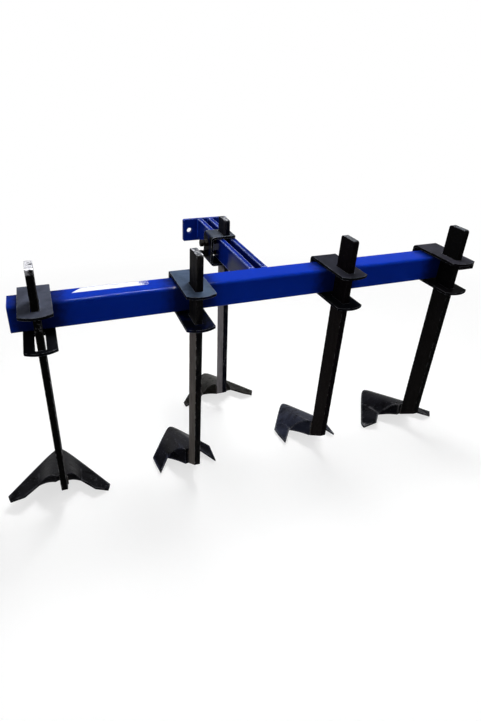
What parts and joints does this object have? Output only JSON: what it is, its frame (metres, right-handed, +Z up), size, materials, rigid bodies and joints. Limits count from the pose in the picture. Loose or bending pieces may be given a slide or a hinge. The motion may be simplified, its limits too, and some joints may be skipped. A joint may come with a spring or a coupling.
{
  "type": "tine cultivator",
  "caption": "Mounted tine cultivator: square toolbar with a two-rail drawbar and hitch plate, and duckfoot sweeps on flat shanks held in adjustable bolted brackets.",
  "frame": {"origin": "on the floor, at the centre of the whole implement's footprint box, with the three wide sweeps resting on the floor and the two narrow ones 5 mm above it", "axes": "+X along the toolbar to the right, +Y forward towards the hitch plate, +Z up; the toolbar's frame leans back 8.5 degrees about X, hitch end up"},
  "size_m": [1.2394, 0.678, 0.6336],
  "materials": {
    "blue_paint": "glossy royal blue paint, a few chips",
    "black_paint": "satin dark grey to black paint",
    "black_bar": "worn dark paint on flat bar, bare metal at edges and ends",
    "black_sweep": "thin dark blue-grey paint, satin",
    "dull_bolt": "dull zinc gone brown with light rust"
  },
  "bodies": {
    "frame": {"toolbar": "blue_paint", "left_rail": "blue_paint", "right_rail": "blue_paint", "hitch_plate": "blue_paint"},
    "clamp_1": {"bracket_1": "black_paint", "bracket_1_upper_nut": "dull_bolt", "bracket_1_upper_bolt": "dull_bolt", "bracket_1_lower_nut": "dull_bolt", "bracket_1_lower_bolt": "dull_bolt"},
    "tine_1": {"shank_1": "black_bar", "sweep_1": "black_sweep"},
    "clamp_2": {"bracket_2": "black_paint", "bracket_2_upper_nut": "dull_bolt", "bracket_2_upper_bolt": "dull_bolt", "bracket_2_lower_nut": "dull_bolt", "bracket_2_lower_bolt": "dull_bolt"},
    "tine_2": {"shank_2": "black_bar", "sweep_2": "black_sweep"},
    "clamp_3": {"bracket_3": "black_paint", "bracket_3_upper_nut": "dull_bolt", "bracket_3_upper_bolt": "dull_bolt", "bracket_3_lower_nut": "dull_bolt", "bracket_3_lower_bolt": "dull_bolt"},
    "tine_3": {"shank_3": "black_bar", "sweep_3": "black_sweep"},
    "clamp_4": {"bracket_4": "black_paint", "bracket_4_upper_nut": "dull_bolt", "bracket_4_upper_bolt": "dull_bolt", "bracket_4_lower_nut": "dull_bolt", "bracket_4_lower_bolt": "dull_bolt", "bracket_4_lip": "black_paint"},
    "tine_4": {"shank_4": "black_bar", "sweep_4": "black_sweep"},
    "clamp_5": {"bracket_5": "black_paint", "bracket_5_upper_nut": "dull_bolt", "bracket_5_upper_bolt": "dull_bolt", "bracket_5_lower_nut": "dull_bolt", "bracket_5_lower_bolt": "dull_bolt"},
    "tine_5": {"shank_5": "black_bar", "sweep_5": "black_sweep"}
  },
  "joints": [
    {"name": "clamp_1_slide", "type": "slide", "parent": "frame", "child": "clamp_1", "axis": [1, 0, 0], "range_m": [-0.02, 0.05]},
    {"name": "clamp_2_slide", "type": "slide", "parent": "frame", "child": "clamp_2", "axis": [1, 0, 0], "range_m": [-0.05, 0.08]},
    {"name": "clamp_3_slide", "type": "slide", "parent": "frame", "child": "clamp_3", "axis": [1, 0, 0], "range_m": [-0.08, 0.045]},
    {"name": "clamp_4_slide", "type": "slide", "parent": "frame", "child": "clamp_4", "axis": [1, 0, 0], "range_m": [-0.045, 0]},
    {"name": "clamp_5_slide", "type": "slide", "parent": "frame", "child": "clamp_5", "axis": [0, 0.989, 0.1478], "range_m": [-0.1, 0.08]},
    {"name": "tine_1_depth", "type": "slide", "parent": "clamp_1", "child": "tine_1", "axis": [0, -0.1478, 0.989], "range_m": [-0.06, 0.25]},
    {"name": "tine_2_depth", "type": "slide", "parent": "clamp_2", "child": "tine_2", "axis": [0, -0.1478, 0.989], "range_m": [-0.06, 0.25]},
    {"name": "tine_3_depth", "type": "slide", "parent": "clamp_3", "child": "tine_3", "axis": [0, -0.1478, 0.989], "range_m": [-0.06, 0.25]},
    {"name": "tine_4_depth", "type": "slide", "parent": "clamp_4", "child": "tine_4", "axis": [0, -0.1478, 0.989], "range_m": [-0.06, 0.25]},
    {"name": "tine_5_depth", "type": "slide", "parent": "clamp_5", "child": "tine_5", "axis": [-0.0227, -0.1478, 0.9888], "range_m": [-0.03, 0.25]}
  ]
}
